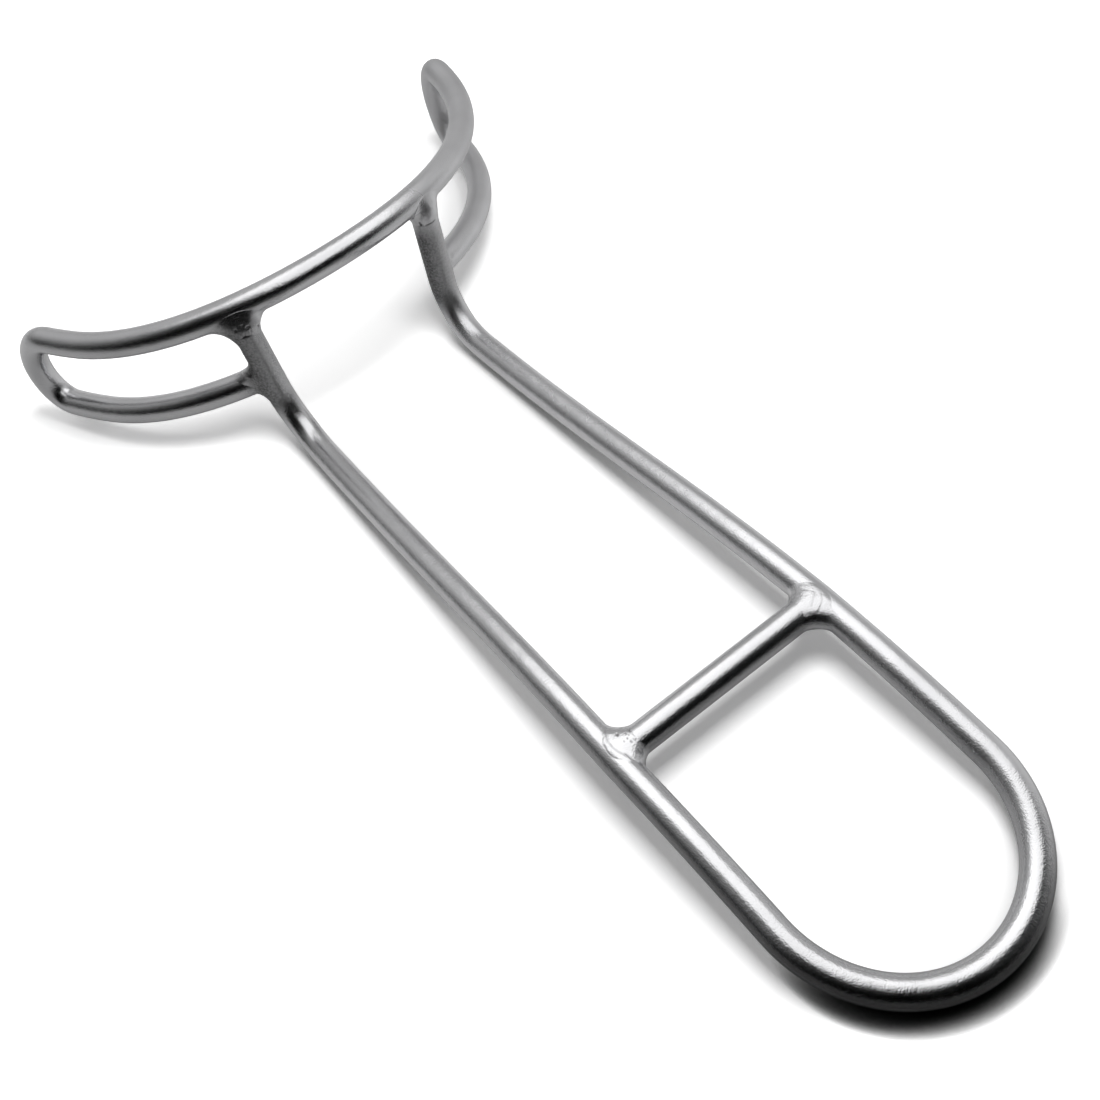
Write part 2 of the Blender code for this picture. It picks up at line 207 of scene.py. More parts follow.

# Weld soot and painted shade round the head's uprights, darkest on their left sides: how far
# it reaches from a line beside each centre line, how far down from the uprights' tops that
# line goes, and where it starts on the right one.
SOOT_AND_SHADE_REACH = 0.0037
SOOT_AND_SHADE_SHIFT = 0.0016
SOOT_AND_SHADE_LENGTH = 0.0170
RIGHT_SOOT_AND_SHADE_DROP = 0.0040

# Camera, found by laying the solids over the photograph
CAMERA_PLACE = (-0.06713019, -0.14351968, 0.19773086)
CAMERA_TURN = (math.radians(37.175), math.radians(9.415), math.radians(-37.352))
CAMERA_LENS = 47.869
CAMERA_SENSOR = 36.0
CLIP_NEAR = 0.005
CLIP_FAR = 20.0

# Steel.  Sizes are those of the grain's features, and depths are how far they stand.  A
# spread is the part of a noise pattern's range that is used.
STEEL_LIGHT = (0.64, 0.64, 0.65, 1)
STEEL_DARK = (0.57, 0.57, 0.58, 1)
SOOT_AND_SHADE_COLOUR = (0.038, 0.038, 0.038, 1)
SATIN_ROUGHNESS = (0.16, 0.21)
SOOT_AND_SHADE_ROUGHNESS = 0.25
MATT_REACH = (0.012, 0.037)
MATT_ROUGHNESS = 0.29
MOTTLE_SIZE = 0.0004
MOTTLE_DETAIL = 4.0
MOTTLE_SPREAD = (0.35, 0.65)
MOTTLE_LEAST = 0.72
CLOUD_SIZE = 0.012
CLOUD_DETAIL = 2.0
SATIN_SIZE = 0.004
SATIN_DETAIL = 3.0
CLOUD_SPREAD = (0.3, 0.7)
RELIEF_DETAIL = 2.0
WAVE_SIZE = 0.006
WAVE_DEPTH = 0.00012
GRAIN_SIZE = 0.0006
GRAIN_DEPTH = 0.000020
FINE_SIZE = 0.00024
FINE_DEPTH = 0.000045

# Floor.  Its colour to the camera is evened out for the key's fall-off, up to a limit, and
# its colour to the steel is painted shade, dark at the loop's end and paler towards the head.
# A reach is a place along the floor's azimuth.
FLOOR_SIZE = 6.0
FLOOR_TO_CAMERA = 1.16
FLOOR_TO_CAMERA_LIMIT = 12.0
FLOOR_SHADE_TO_STEEL = (0.02, 0.46)
FLOOR_AZIMUTH = math.radians(53)
FLOOR_SHADE_REACH = (-0.090, 0.010)
FLOOR_SHINE = 0.90
FLOOR_SHINE_ROUGHNESS = 0.30

# Contact shade close to the rods.  It is darkest outside the loop's end, which is past a
# reach along the floor's azimuth and beyond an edge round the loop's centre.
CONTACT_DISTANCE = 0.0039
CONTACT_SAMPLES = 12
CONTACT_POWER = 0.5
CONTACT_POWER_AT_LOOP = 9.0
CONTACT_REACH = (-0.087, -0.070)
LOOP_CENTRE = (0.0, -0.0796, 0.0)
LOOP_EDGE_DISTANCE = (0.0185, 0.0225)

# Lights.  The panel is what the steel's bright bands mirror, as stacked sheets that each
# have a width and a brightness.  The key throws the soft shadows, and its level is how
# bright it makes a white table right below it.  A lobe is a soft patch of light on the
# studio's walls: the way it lies, its brightness and how narrow it is.
PANEL_PLACE = (0.062, 0.020, 0.235)
PANEL_TURN = math.radians(13.4)
PANEL_SHEETS = ((0.30, 0.75), (0.34, 0.35), (0.38, 0.30))
SHEET_SPACING = 0.001
KEY_PLACE = (0.036, -0.028, 0.277)
KEY_SIZE = (0.12, 0.12)
KEY_LEVEL = 0.70
FILL_LEVEL = 0.34
WALL_LOBES = (
    (math.radians(66.1), math.radians(13.3), 0.50, 2.2),
    (math.radians(-6.0), math.radians(17.1), 0.70, 8.0),
    (math.radians(121.8), math.radians(45.0), 0.42, 5.0),
)


def steps_between(first, last, count):
    """Evenly spaced values after first, up to and including last."""
    return [first + (last - first) * (i + 1) / count for i in range(count)]


def ease(share):
    """Half a cosine wave, from 0 at the start to 1 at the end."""
    return 0.5 - 0.5 * math.cos(math.pi * min(max(share, 0), 1))


def mirrored(points):
    return [Vector((-p.x, p.y, p.z)) for p in points]


def arched_height(y):
    """The handle arches up to its crest at the crossbar and lies down at both ends."""
    if y < 0:
        return CREST_HEIGHT * (1 - (y / HANDLE_REACH) ** 2)
    return CREST_HEIGHT * (1 - ease(y / SHANK_LENGTH))


def loop_quarter():
    """From the loop's far end round to the straight side."""
    points = []
    for turn in steps_between(0, math.pi / 2, LOOP_STEPS):
        x = HANDLE_HALF_WIDTH * math.sin(turn)
        y = LOOP_END_DEPTH * (1 - math.cos(turn)) - HANDLE_REACH
        points.append(Vector((x, y, arched_height(y))))
    return points


def handle_side():
    """The straight side of the loop, then the shank that tapers in to the heel."""
    points = []
    for y in steps_between(LOOP_END_DEPTH - HANDLE_REACH, 0, SIDE_STEPS):
        points.append(Vector((HANDLE_HALF_WIDTH, y, arched_height(y))))
    for y in steps_between(0, SHANK_LENGTH, SHANK_STEPS):
        x = HANDLE_HALF_WIDTH - (HANDLE_HALF_WIDTH - HEEL_HALF_WIDTH) * y / SHANK_LENGTH
        points.append(Vector((x, y, arched_height(y))))
    return points


def heel_end():
    """Y and Z where the heel bend ends and the straight upright starts."""
    y = SHANK_LENGTH + HEEL_BEND_RADIUS * math.sin(UPRIGHT_PITCH)
    return y, HEEL_BEND_RADIUS * (1 - math.cos(UPRIGHT_PITCH))


def upright_reach(height):
    """How far ahead of the crossbar the uprights are at a height."""
    y, z = heel_end()
    return y + (height - z) / math.tan(UPRIGHT_PITCH)


def heel_and_upright(top):
    """The heel bend and the upright, up to a height given as top."""
    taper = (HANDLE_HALF_WIDTH - HEEL_HALF_WIDTH) / SHANK_LENGTH
    lean = math.tan(UPRIGHT_LEAN) + taper
    lean_start = HEEL_BEND_RADIUS / 2
    points = []

    def add(length, y, z):
        x = HEEL_HALF_WIDTH - taper * length + lean * max(length - lean_start, 0)
        points.append(Vector((x, y, z)))

    for turn in steps_between(0, UPRIGHT_PITCH, HEEL_STEPS):
        y = SHANK_LENGTH + HEEL_BEND_RADIUS * math.sin(turn)
        add(HEEL_BEND_RADIUS * turn, y, HEEL_BEND_RADIUS * (1 - math.cos(turn)))
    bend_length = HEEL_BEND_RADIUS * UPRIGHT_PITCH
    foot_height = heel_end()[1]
    for height in steps_between(foot_height, top, UPRIGHT_STEPS):
        run = (height - foot_height) / math.sin(UPRIGHT_PITCH)
        add(bend_length + run, upright_reach(height), height)
    return points


def handle_line(top):
    """The whole handle rod, from the left upright's top round the loop to the right one's."""
    right = loop_quarter() + handle_side() + heel_and_upright(top)
    apex = Vector((0, -HANDLE_REACH, 0))
    return mirrored(reversed(right)) + [apex] + right


def rail_middle_reach():
    """The rails cross the uprights a step ahead of them."""
    sagitta = RAIL_RADIUS - math.sqrt(RAIL_RADIUS ** 2 - HEEL_HALF_WIDTH ** 2)
    return upright_reach(LOWER_RAIL_HEIGHT) + RAIL_SEAT_STEP - sagitta


def rail_plan(length, end_radius):
    """X and Y of a rail at an arc length from its middle: one round bend, then the end's own."""
    round_part = min(length, ROUND_LENGTH)
    heading = round_part / RAIL_RADIUS
    x = RAIL_RADIUS * math.sin(heading)
    y = RAIL_RADIUS * (1 - math.cos(heading))
    end_heading = heading + (length - round_part) / end_radius
    x += end_radius * (math.sin(end_heading) - math.sin(heading))
    y += end_radius * (math.cos(heading) - math.cos(end_heading))
    return x, rail_middle_reach() + y


def rail_point(length, end_radius, height, drop):
    x, y = rail_plan(length, end_radius)
    return Vector((x, y, height - drop * ease(length / DROP_SPAN)))


def end_turn(first, second, turn_share):
    """The end bend from the top rail's last two points to the lower rail's first two."""
    enter = (first[1] - first[0]).normalized()
    leave = (second[0] - second[1]).normalized()
    middle = (first[1] + second[0]) / 2
    half = (first[1] - second[0]) / 2
    points = []
    for turn in steps_between(0, math.pi, TURN_STEPS)[:-1]:
        outward = (enter * (1 + math.cos(turn)) + leave * (1 - math.cos(turn))).normalized()
        reach = half.length * turn_share * math.sin(turn)
        points.append(middle + half * math.cos(turn) + outward * reach)
    return points


def head_side(top_length, lower_length, end_radius, turn_share):
    """One side of the head rod: top rail outward, end turn, lower rail back to the upright."""
    def top_point(length):
        return rail_point(length, end_radius, TOP_RAIL_HEIGHT, TOP_RAIL_DROP)

    def lower_point(length):
        return rail_point(length, end_radius, LOWER_RAIL_HEIGHT, LOWER_RAIL_DROP)

    stop = RAIL_RADIUS * math.asin((HEEL_HALF_WIDTH + LOWER_RAIL_END_SPACE) / RAIL_RADIUS)
    top = [top_point(length) for length in steps_between(0, top_length, RAIL_STEPS)]
    lower = [lower_point(length) for length in steps_between(lower_length, stop, LOWER_STEPS)]
    lower.insert(0, lower_point(lower_length))
    return top + end_turn(top[-2:], lower[:2], turn_share) + lower


def head_line():
    """The whole head rod, from the left lower rail's end round to the right one's."""
    left = head_side(LEFT_TOP_LENGTH, LEFT_LOWER_LENGTH, LEFT_END_RADIUS, LEFT_TURN_SHARE)
    right = head_side(RIGHT_TOP_LENGTH, RIGHT_LOWER_LENGTH, RIGHT_END_RADIUS, RIGHT_TURN_SHARE)
    middle = rail_point(0, RIGHT_END_RADIUS, TOP_RAIL_HEIGHT, TOP_RAIL_DROP)
    return mirrored(reversed(left)) + [middle] + right


def crossbar_line():
    places = [-HANDLE_HALF_WIDTH] + steps_between(-HANDLE_HALF_WIDTH, HANDLE_HALF_WIDTH, CROSSBAR_STEPS)
    return [Vector((x, 0, CREST_HEIGHT)) for x in places]


def in_frame(line):
    """A centre line as an array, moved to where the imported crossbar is."""
    low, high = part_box("crossbar")
    return np.array(line) + np.array((low + high) / 2 - Vector((0, 0, CREST_HEIGHT)))


def unit(vectors):
    return vectors / np.linalg.norm(vectors, axis=-1, keepdims=True)


def mesh_piece(name, shape):
    mesh = bpy.data.meshes.new(name)
    bmesh.ops.recalc_face_normals(shape, faces=shape.faces)
    shape.to_mesh(mesh)
    shape.free()
    mesh.shade_smooth()
    item = bpy.data.objects.new(name, mesh)
    bpy.context.scene.collection.objects.link(item)
    return item


def closed_tube(name, rings, first_tip, last_tip, soot_and_shade_values):
    """A closed mesh through rings of points, with a fan at each end and, at each point, a value of weld soot
    and painted shade.
    """
    shape = bmesh.new()
    loops = [[shape.verts.new(place) for place in ring] for ring in rings]
    for one, other in zip(loops, loops[1:]):
        for i in range(len(one)):
            j = (i + 1) % len(one)
            shape.faces.new((one[i], other[i], other[j], one[j]))
    for loop, tip in ((loops[0], first_tip), (loops[-1], last_tip)):
        top = shape.verts.new(tip)
        for i, vert in enumerate(loop):
            shape.faces.new((vert, loop[(i + 1) % len(loop)], top))
    item = mesh_piece(name, shape)
    layer = item.data.attributes.new("soot_and_shade", "FLOAT", "POINT")
    layer.data.foreach_set("value", np.concatenate([np.ravel(soot_and_shade_values), (0, 0)]))
    return item


def steel_rod(name, line, node, uprights):
    """A round rod along a centre line, its rings carried along without twist."""
    runs = unit(np.gradient(line, axis=0))
    aslant = runs[0][::-1] + 1
    side = unit(np.cross(runs[0], aslant))
    angle = np.arange(RING_STEPS) * 2 * math.pi / RING_STEPS
    rings = []
    for place, run in zip(line, runs):
        side = unit(side - run * side.dot(run))
        ring = np.outer(np.cos(angle), side) + np.outer(np.sin(angle), np.cross(run, side))
        rings.append(place + ring * ROD_RADIUS)
    item = closed_tube(name, rings, line[0], line[-1], soot_and_shade_share(np.concatenate(rings), uprights))
    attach(item, "root")
    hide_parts(node)
    return item


def trimmed(line, length):
    """A centre line from the given length on."""
    rest = line[lengths_along(line) > length]
    return np.vstack([places_at(line, length), rest])


def axis_offsets(points, line):
    """From each point to the nearest place on a centre line."""
    starts = line[:-1]
    runs = line[1:] - starts
    reach = points[:, None] - starts[None]
    share = np.einsum("psk,sk->ps", reach, runs) / np.einsum("sk,sk->s", runs, runs)
    offsets = runs[None] * np.clip(share, 0, 1)[..., None] - reach
    best = np.argmin(np.linalg.norm(offsets, axis=2), axis=1)
    return offsets[np.arange(len(points)), best]


def soot_and_shade_share(points, uprights):
    """How dark the weld soot and painted shade are at each point: most on the uprights' left, and less
    beside it.
    """
    # The shift puts the darkening, which is partly painted shade, on the uprights' left sides.
    moved = points + np.array((SOOT_AND_SHADE_SHIFT, 0, 0))
    gap = np.min([np.linalg.norm(axis_offsets(moved, line), axis=1) for line in uprights], axis=0)
    return np.exp(-(gap / SOOT_AND_SHADE_REACH) ** 2)


def rod_distance(points, line):
    return np.linalg.norm(axis_offsets(points, line), axis=1) - ROD_RADIUS


def blended(first, second, leg):
    """The distance to two rods with a fillet of the given leg between them."""
    overlap = np.maximum(leg - np.abs(first - second), 0)
    return np.minimum(first, second) - overlap ** 2 / (4 * leg)


def lengths_along(line):
    return np.concatenate([[0], np.cumsum(np.linalg.norm(np.diff(line, axis=0), axis=1))])


def places_at(line, lengths):
    """The places on a centre line at the given lengths from its first point."""
    marks = lengths_along(line)
    return np.stack([np.interp(lengths, marks, line[:, axis]) for axis in range(3)], axis=-1)


def length_nearest(line, place):
    """The length along a centre line at its point nearest to a place."""
    foot = place + axis_offsets(place[None], line)[0]
    index = np.argmin(np.linalg.norm(line - foot, axis=1))
    run = line[min(index + 1, len(line) - 1)] - line[index - 1]
    return lengths_along(line)[index] + (foot - line[index]).dot(run) / np.linalg.norm(run)


def near(line, place):
    """The stretch of a centre line close to a place, split where it leaves and returns."""
    kept = np.linalg.norm(line - place, axis=1) < NEAR_JOINT
    breaks = np.flatnonzero(np.diff(kept.astype(int))) + 1
    return [part for part in np.split(line, breaks) if np.linalg.norm(part[0] - place) < NEAR_JOINT]


def nearest_rod(points, stretches):
    return np.min([rod_distance(points, stretch) for stretch in stretches], axis=0)


def cast(starts, rays, joining, receiver, leg, level):
    """The skin's surface along rays that start inside the rods."""
    joining_parts = near(joining, joining[0])
    receiver_parts = near(receiver, joining[0])
    reach = np.zeros(len(rays))
    for _ in range(FIND_STEPS):
        points = starts + rays * reach[:, None]
        gap = blended(nearest_rod(points, joining_parts), nearest_rod(points, receiver_parts), leg)
        reach += level - gap
    return starts + rays * reach[:, None]


def rooted(points, line):
    """The points sunk into the rod that they lie on, for the skin's buried edge."""
    return points + unit(axis_offsets(points, line)) * SKIN_ROOT


def face_share(step):
    return step / SKIN_FACE_STEPS


def edge_rise(share):
    """From 0 at a skin's two edges to 1 across its middle."""
    return ease(min(share, 1 - share) / EDGE_SHARE)


def skin_grid(joining, receiver, crossing, seat_length, look):
    """Rings of a skin, from its edge on the joining rod to its edge on the receiver."""
    out = unit(joining[1] - joining[0])
    seat = places_at(receiver, seat_length)
    along = unit(places_at(receiver, seat_length + ROD_RADIUS) - seat)
    across = unit(np.cross(out, along))
    angle = np.arange(SKIN_RING_STEPS) * 2 * math.pi / SKIN_RING_STEPS
    side = np.cos(angle) ** 2
    side_leg = ROD_DIAMETER * np.where(np.cos(angle) > 0, *look["leg_shares"])
    leg = ROD_DIAMETER * look["crown_share"] * (1 - side) + side_leg * side

    first_starts = places_at(joining, crossing + ROD_RADIUS + leg)
    first_rays = unit(np.outer(np.cos(angle), np.cross(across, out)) + np.outer(np.sin(angle), across))
    last_starts = places_at(receiver, seat_length + np.cos(angle) * (ROD_RADIUS + side_leg))
    lift = side - look["lap_share"] * (1 - side)
    last_rays = unit(np.outer(lift, out) + np.outer(np.sin(angle), across))
    centre = (joining[0] + seat) / 2
    joined = trimmed(joining, max(crossing + ROD_RADIUS * look["start_share"], 0))

    grid = []
    for share in map(face_share, range(SKIN_FACE_STEPS + 1)):
        starts = (first_starts * (1 - share) ** 2 + centre * 2 * share * (1 - share)
                  + last_starts * share ** 2)
        rays = unit(first_rays * (1 - share) + last_rays * share)
        level = (look["height"] + SKIN_SINK) * edge_rise(share) - SKIN_SINK
        grid.append(cast(starts, rays, joined, receiver, leg, level))
    return np.array(grid)


def camera_matrix():
    return Matrix.LocRotScale(Vector(CAMERA_PLACE), Euler(CAMERA_TURN), None)


def photo_pixels(points):
    """Where the camera sees the points, in the photograph's pixels."""
    seen = (points - np.array(CAMERA_PLACE)) @ np.array(camera_matrix().to_3x3())
    scale = CAMERA_LENS / CAMERA_SENSOR * PHOTO_PIXELS
    across = PHOTO_PIXELS / 2 - scale * seen[:, 0] / seen[:, 2]
    down = PHOTO_PIXELS / 2 + scale * seen[:, 1] / seen[:, 2]
    return np.stack([across, down, np.zeros(len(points))], axis=1)


def grid_normals(grid, lines):
    """Outward normals of a skin's grid."""
    round_way = np.roll(grid, -1, axis=1) - np.roll(grid, 1, axis=1)
    normals = unit(np.cross(round_way, np.gradient(grid, axis=0)).reshape(-1, 3))
    points = grid.reshape(-1, 3)
    inward = axis_offsets(points, lines[0])
    other = axis_offsets(points, lines[1])
    nearer = np.linalg.norm(other, axis=1) < np.linalg.norm(inward, axis=1)
    inward[nearer] = other[nearer]
    flip = np.einsum("ij,ij->i", normals, inward) > 0
    normals[flip] *= -1
    return normals


def lumps(points):
    """Height of a weld's uneven surface: low lumps with finer grit on them."""
    heights = []
    for place in points:
        lump = noise.fractal(Vector(place) / LUMP_SIZE, LUMP_SMOOTHNESS, LUMP_LACUNARITY, LUMP_OCTAVES)
        grit = noise.noise(Vector(place) / GRIT_SIZE)
        heights.append(lump * LUMP_HEIGHT + grit * GRIT_HEIGHT)
    return np.array(heights)


def worked(grid, node, lines, uprights):
    """The skin's grid with its lumps and marks, and the weld soot and painted shade at each point."""
    points = grid.reshape(-1, 3)
    normals = grid_normals(grid, lines)
    rise = np.repeat([edge_rise(face_share(i)) for i in range(SKIN_FACE_STEPS + 1)], SKIN_RING_STEPS)
    height = lumps(points) * rise
    soot_and_shade = soot_and_shade_share(points, uprights)
    pixels = photo_pixels(points)
    facing = np.einsum("ij,ij->i", normals, np.array(CAMERA_PLACE) - points) > 0
    for path, half_width, depth, darkness in WELD_MARKS[node]:
        line = np.array([(x, y, 0) for x, y in path])
        gap = np.linalg.norm(axis_offsets(pixels, line), axis=1)
        near_by = np.exp(-(gap / half_width) ** 2) * facing
        height -= near_by * depth * rise
        # A mark's darkness is painted shade in its pit or groove.
        soot_and_shade = np.maximum(soot_and_shade, near_by * darkness)
    return (points + normals * height[:, None]).reshape(grid.shape), soot_and_shade.reshape(grid.shape[:2])


def weld_skin(name, node, joining, receiver, facing, uprights):
    """A weld where the first point of the joining line meets the receiving line."""
    look = WELD_SHAPES[node]
    seat_length = length_nearest(receiver, joining[0])
    run = places_at(receiver, seat_length + ROD_RADIUS) - places_at(receiver, seat_length)
    if run.dot(facing) < 0:
        receiver = receiver[::-1]
        seat_length = length_nearest(receiver, joining[0])
    seat = places_at(receiver, seat_length)
    crossing = (seat - joining[0]).dot(unit(joining[1] - joining[0]))
    grid = skin_grid(joining, receiver, crossing, seat_length, look)
    grid, soot_and_shade = worked(grid, node, (joining, receiver), uprights)
    rings = [rooted(grid[0], joining), *grid, rooted(grid[-1], receiver)]
    soot_and_shade_values = [soot_and_shade[0], *soot_and_shade, soot_and_shade[-1]]
    tip = places_at(joining, crossing + ROD_RADIUS + ROD_DIAMETER * look["crown_share"])
    item = closed_tube(name, rings, tip, seat, soot_and_shade_values)
    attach(item, "root")
    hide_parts(node)
    return item


def new_node(tree, kind, **settings):
    node = tree.nodes.new(kind)
    for key, value in settings.items():
        setattr(node, key, value)
    return node


def math_node(tree, operation, first, second):
    """A Math node whose inputs are sockets or numbers."""
    node = new_node(tree, "ShaderNodeMath", operation=operation)
    for socket, value in zip(node.inputs, (first, second)):
        if isinstance(value, (int, float)):
            socket.default_value = value
        else:
            tree.links.new(value, socket)
    return node.outputs[0]


def range_node(tree, value, spread, results, **settings):
    """A Map Range node from the two ends of a spread to two results."""
    node = new_node(tree, "ShaderNodeMapRange", **settings)
    for key, number in zip(("From Min", "From Max", "To Min", "To Max"), (*spread, *results)):
        node.inputs[key].default_value = number
    tree.links.new(value, node.inputs["Value"])
    return node.outputs["Result"]


def vector_node(tree, operation, first, second):
    """A Vector Math node whose result is a number, of a socket and a fixed vector."""
    node = new_node(tree, "ShaderNodeVectorMath", operation=operation)
    tree.links.new(first, node.inputs[0])
    node.inputs[1].default_value = second
    return node.outputs["Value"]


def direction(azimuth, elevation):
    flat = math.cos(elevation)
    return Vector((flat * math.cos(azimuth), flat * math.sin(azimuth), math.sin(elevation)))


def steel_material(name):
    """Satin steel with a fine uneven grain, matt towards its right, and dark where weld soot and painted
    shade lie.
    """
    material = bpy.data.materials.new(name)
    material.use_nodes = True
    tree = material.node_tree
    shader = tree.nodes["Principled BSDF"]
    shader.inputs["Metallic"].default_value = 1.0
    place = new_node(tree, "ShaderNodeTexCoord").outputs["Object"]
    soot_and_shade = new_node(tree, "ShaderNodeAttribute", attribute_name="soot_and_shade").outputs["Fac"]

    def pattern(size, detail):
        texture = new_node(tree, "ShaderNodeTexNoise")
        texture.inputs["Scale"].default_value = 1 / size
        texture.inputs["Detail"].default_value = detail
        tree.links.new(place, texture.inputs["Vector"])
        return texture.outputs["Fac"]

    mottle = range_node(tree, pattern(MOTTLE_SIZE, MOTTLE_DETAIL), MOTTLE_SPREAD, (MOTTLE_LEAST, 1.0))
    soot_and_shade_mask = math_node(tree, "MULTIPLY", soot_and_shade, mottle)
    cloud = range_node(tree, pattern(CLOUD_SIZE, CLOUD_DETAIL), CLOUD_SPREAD, (0.0, 1.0))
    steel = new_node(tree, "ShaderNodeMix", data_type="RGBA")
    steel.inputs["A"].default_value = STEEL_LIGHT
    steel.inputs["B"].default_value = STEEL_DARK
    tree.links.new(cloud, steel.inputs["Factor"])
    tinted = new_node(tree, "ShaderNodeMix", data_type="RGBA")
    tree.links.new(soot_and_shade_mask, tinted.inputs["Factor"])
    tree.links.new(steel.outputs["Result"], tinted.inputs["A"])
    # This dark colour is weld soot and also painted shade: on the uprights' left sides and in the weld pits
    # and grooves.
    tinted.inputs["B"].default_value = SOOT_AND_SHADE_COLOUR
    tree.links.new(tinted.outputs["Result"], shader.inputs["Base Color"])

    satin = range_node(tree, pattern(SATIN_SIZE, SATIN_DETAIL), CLOUD_SPREAD, SATIN_ROUGHNESS)
    rough = math_node(tree, "ADD", satin, math_node(tree, "MULTIPLY", soot_and_shade_mask, SOOT_AND_SHADE_ROUGHNESS))
    across = new_node(tree, "ShaderNodeSeparateXYZ")
    tree.links.new(place, across.inputs[0])
    matt = range_node(tree, across.outputs["X"], MATT_REACH, (0.0, MATT_ROUGHNESS))
    tree.links.new(math_node(tree, "ADD", rough, matt), shader.inputs["Roughness"])

    normal = None
    for size, depth in ((WAVE_SIZE, WAVE_DEPTH), (GRAIN_SIZE, GRAIN_DEPTH), (FINE_SIZE, FINE_DEPTH)):
        bump = new_node(tree, "ShaderNodeBump")
        bump.inputs["Distance"].default_value = depth
        tree.links.new(pattern(size, RELIEF_DETAIL), bump.inputs["Height"])
        if normal:
            tree.links.new(normal, bump.inputs["Normal"])
        normal = bump.outputs["Normal"]
    tree.links.new(normal, shader.inputs["Normal"])
    return material


def make_pieces():
    """The three rods and the six weld skins, all of one steel."""
    rail_over_upright = rail_point(HEEL_HALF_WIDTH, RIGHT_END_RADIUS, TOP_RAIL_HEIGHT, TOP_RAIL_DROP)
    upright_top = rail_over_upright.z - ROD_RADIUS - UPRIGHT_STOP
    handle = in_frame(handle_line(upright_top))
    head = in_frame(head_line())
    crossbar = in_frame(crossbar_line())
    forward = np.array((0, 1, 0))
    up = np.array((0, 0, 1))
    outward = np.array((1, 0, 0))
    below_top = handle[:, 2].max() - handle[:, 2]
    on_left = handle[:, 0] < 0
    uprights = [handle[on_left & (below_top < SOOT_AND_SHADE_LENGTH)],
                handle[~on_left & (below_top < SOOT_AND_SHADE_LENGTH) & (below_top > RIGHT_SOOT_AND_SHADE_DROP)]]
    rods = [steel_rod("handle_steel", handle, "handle_rod", uprights),
            steel_rod("crossbar_steel", crossbar, "crossbar", uprights),
            steel_rod("head_steel", head, "head_rod", uprights)]
    skins = [weld_skin(name, node, joining, receiver, facing, uprights)
             for name, node, joining, receiver, facing in (
                 ("bead_crossbar_left", "weld_crossbar_left", crossbar, handle, forward),
                 ("bead_crossbar_right", "weld_crossbar_right", crossbar[::-1], handle, forward),
                 ("bead_rail_left", "weld_rail_left", handle, head, -outward),
                 ("bead_rail_right", "weld_rail_right", handle[::-1], head, outward),
                 ("bead_lower_left", "weld_lower_left", head, handle, up),
                 ("bead_lower_right", "weld_lower_right", head[::-1], handle, up))]
    steel = steel_material("satin_steel")
    for item in rods + skins:
        item.data.materials.append(steel)


def evened_white(tree, place):
    """The floor's colour to the camera, raised where the key's light falls off."""
    slant = vector_node(tree, "DISTANCE", place, (KEY_PLACE[0], KEY_PLACE[1], 0))
    slant = math_node(tree, "POWER", math_node(tree, "DIVIDE", slant, KEY_PLACE[2]), 2.0)
    falloff = math_node(tree, "POWER", math_node(tree, "ADD", slant, 1.0), 2.0)
    white = math_node(tree, "MULTIPLY", falloff, FLOOR_TO_CAMERA)
    return math_node(tree, "MINIMUM", white, FLOOR_TO_CAMERA_LIMIT)


def contact_shade(tree, place, along):
    """How light the floor stays, from 1 in the open down to 0 under a rod."""
    near_rods = new_node(tree, "ShaderNodeAmbientOcclusion", samples=CONTACT_SAMPLES)
    near_rods.inputs["Distance"].default_value = CONTACT_DISTANCE
    from_loop = vector_node(tree, "DISTANCE", place, LOOP_CENTRE)
    outside = range_node(tree, from_loop, LOOP_EDGE_DISTANCE, (0.0, 1.0), interpolation_type="SMOOTHSTEP")
    at_loop = range_node(tree, along, CONTACT_REACH, (CONTACT_POWER_AT_LOOP, 0.0),
                         interpolation_type="SMOOTHSTEP")
    power = math_node(tree, "ADD", math_node(tree, "MULTIPLY", outside, at_loop), CONTACT_POWER)
    return math_node(tree, "POWER", near_rods.outputs["AO"], power)


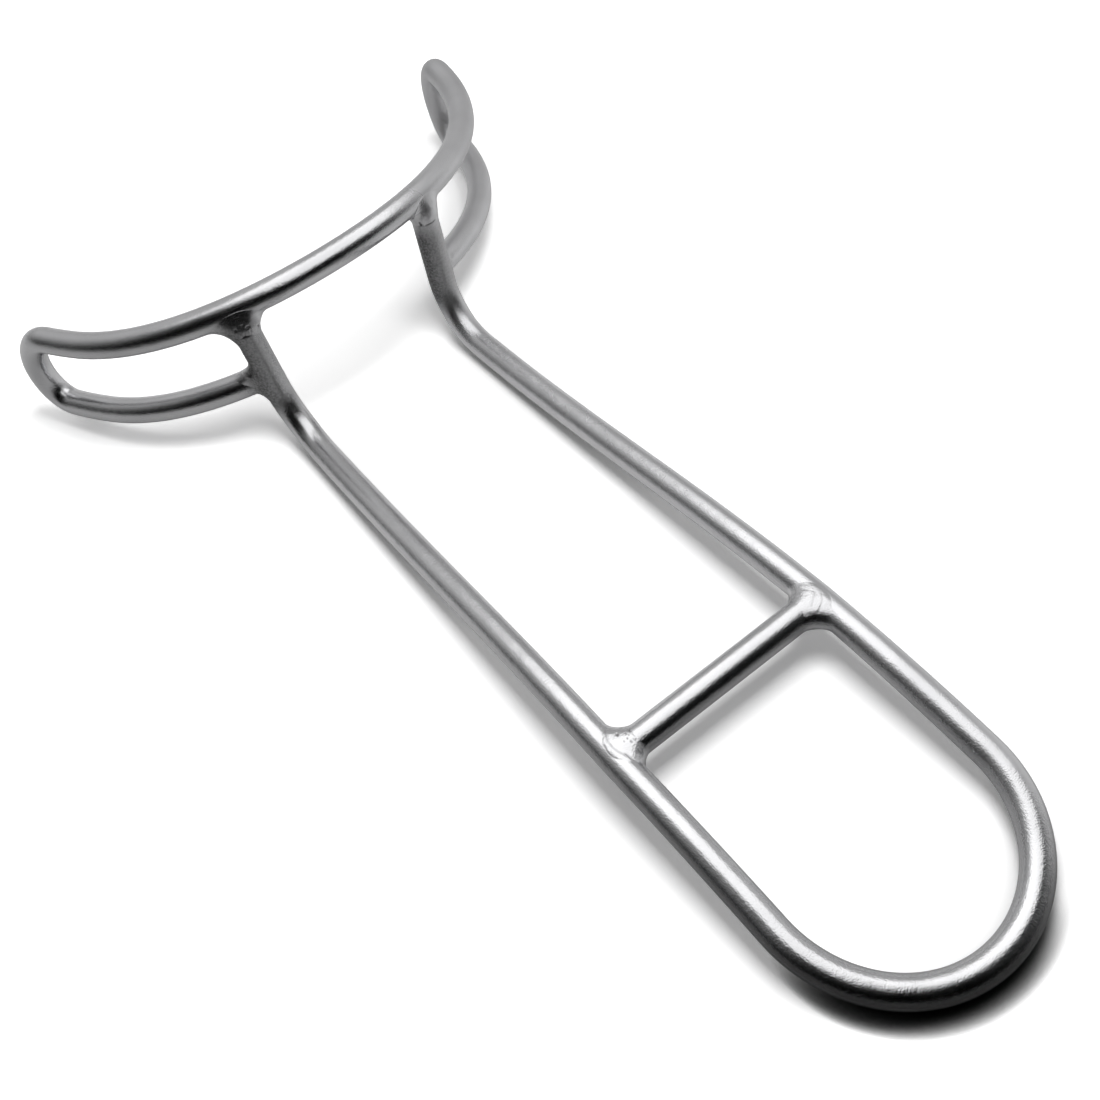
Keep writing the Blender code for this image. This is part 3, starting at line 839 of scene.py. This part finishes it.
def make_floor():
    """A white table with a little shine; to the steel its colour is painted shade, darker than to the
    camera.
    """
    shape = bmesh.new()
    bmesh.ops.create_grid(shape, x_segments=1, y_segments=1, size=FLOOR_SIZE / 2)
    floor = mesh_piece("floor", shape)
    material = bpy.data.materials.new("white_table")
    material.use_nodes = True
    tree = material.node_tree
    tree.nodes.clear()
    rays = new_node(tree, "ShaderNodeLightPath")
    place = new_node(tree, "ShaderNodeTexCoord").outputs["Object"]
    along = vector_node(tree, "DOT_PRODUCT", place, direction(FLOOR_AZIMUTH, 0))
    shade = new_node(tree, "ShaderNodeMix", data_type="FLOAT")
    tree.links.new(rays.outputs["Is Camera Ray"], shade.inputs["Factor"])
    # Painted shade on the floor for the steel's reflections: dark at the loop's end, paler towards the head.
    painted_shade_to_steel = range_node(tree, along, FLOOR_SHADE_REACH, FLOOR_SHADE_TO_STEEL, interpolation_type="SMOOTHSTEP")
    tree.links.new(painted_shade_to_steel, shade.inputs["A"])
    to_camera = math_node(tree, "MULTIPLY", evened_white(tree, place), contact_shade(tree, place, along))
    tree.links.new(to_camera, shade.inputs["B"])
    matt = new_node(tree, "ShaderNodeBsdfDiffuse")
    tree.links.new(shade.outputs["Result"], matt.inputs["Color"])

    gloss = new_node(tree, "ShaderNodeBsdfGlossy")
    gloss.inputs["Roughness"].default_value = FLOOR_SHINE_ROUGHNESS
    sheen = new_node(tree, "ShaderNodeLayerWeight").outputs["Facing"]
    sheen = math_node(tree, "MULTIPLY", sheen, FLOOR_SHINE)
    sheen = math_node(tree, "MULTIPLY", sheen, rays.outputs["Is Glossy Ray"])
    tree.links.new(sheen, gloss.inputs["Color"])
    surface = new_node(tree, "ShaderNodeAddShader")
    tree.links.new(matt.outputs[0], surface.inputs[0])
    tree.links.new(gloss.outputs[0], surface.inputs[1])
    output = new_node(tree, "ShaderNodeOutputMaterial")
    tree.links.new(surface.outputs[0], output.inputs["Surface"])
    floor.data.materials.append(material)


def make_camera():
    data = bpy.data.cameras.new("camera")
    data.lens = CAMERA_LENS
    data.sensor_width = CAMERA_SENSOR
    data.clip_start = CLIP_NEAR
    data.clip_end = CLIP_FAR
    camera = bpy.data.objects.new("camera", data)
    camera.location = CAMERA_PLACE
    camera.rotation_euler = CAMERA_TURN
    bpy.context.scene.collection.objects.link(camera)
    bpy.context.scene.camera = camera


def area_light(name, place, size, power):
    data = bpy.data.lights.new(name, "AREA")
    data.shape = "RECTANGLE"
    data.size, data.size_y = size
    data.energy = power
    lamp = bpy.data.objects.new(name, data)
    lamp.location = place
    lamp.visible_camera = False
    bpy.context.scene.collection.objects.link(lamp)
    return lamp


def make_world():
    """White to the camera, and soft walls to everything else."""
    world = bpy.data.worlds.new("studio")
    world.use_nodes = True
    tree = world.node_tree
    background = tree.nodes["Background"]
    rays = new_node(tree, "ShaderNodeLightPath")
    place = new_node(tree, "ShaderNodeTexCoord").outputs["Generated"]
    walls = 0.0
    for azimuth, elevation, brightness, power in WALL_LOBES:
        facing = vector_node(tree, "DOT_PRODUCT", place, direction(azimuth, elevation))
        lobe = math_node(tree, "MAXIMUM", facing, 0.0)
        lobe = math_node(tree, "POWER", lobe, power)
        walls = math_node(tree, "ADD", math_node(tree, "MULTIPLY", lobe, brightness), walls)
    shade = new_node(tree, "ShaderNodeMix", data_type="FLOAT")
    tree.links.new(rays.outputs["Is Diffuse Ray"], shade.inputs["Factor"])
    tree.links.new(walls, shade.inputs["A"])
    shade.inputs["B"].default_value = FILL_LEVEL
    level = math_node(tree, "MAXIMUM", shade.outputs["Result"], rays.outputs["Is Camera Ray"])
    tree.links.new(level, background.inputs["Strength"])
    background.inputs["Color"].default_value = (1, 1, 1, 1)
    bpy.context.scene.world = world


def make_light():
    """The panel above, the key, and the walls round them."""
    for i, (width, radiance) in enumerate(PANEL_SHEETS):
        place = Vector(PANEL_PLACE) + Vector((0, 0, i * SHEET_SPACING))
        panel = area_light("panel", place, (width, width), radiance * math.pi * width ** 2)
        panel.rotation_euler = (0, 0, PANEL_TURN)
        panel.visible_diffuse = False
    key = area_light("key", KEY_PLACE, KEY_SIZE, KEY_LEVEL * (math.pi * KEY_PLACE[2]) ** 2)
    key.visible_glossy = False
    make_world()
    bpy.context.scene.view_settings.view_transform = "Standard"


make_camera()
make_pieces()
make_floor()
make_light()
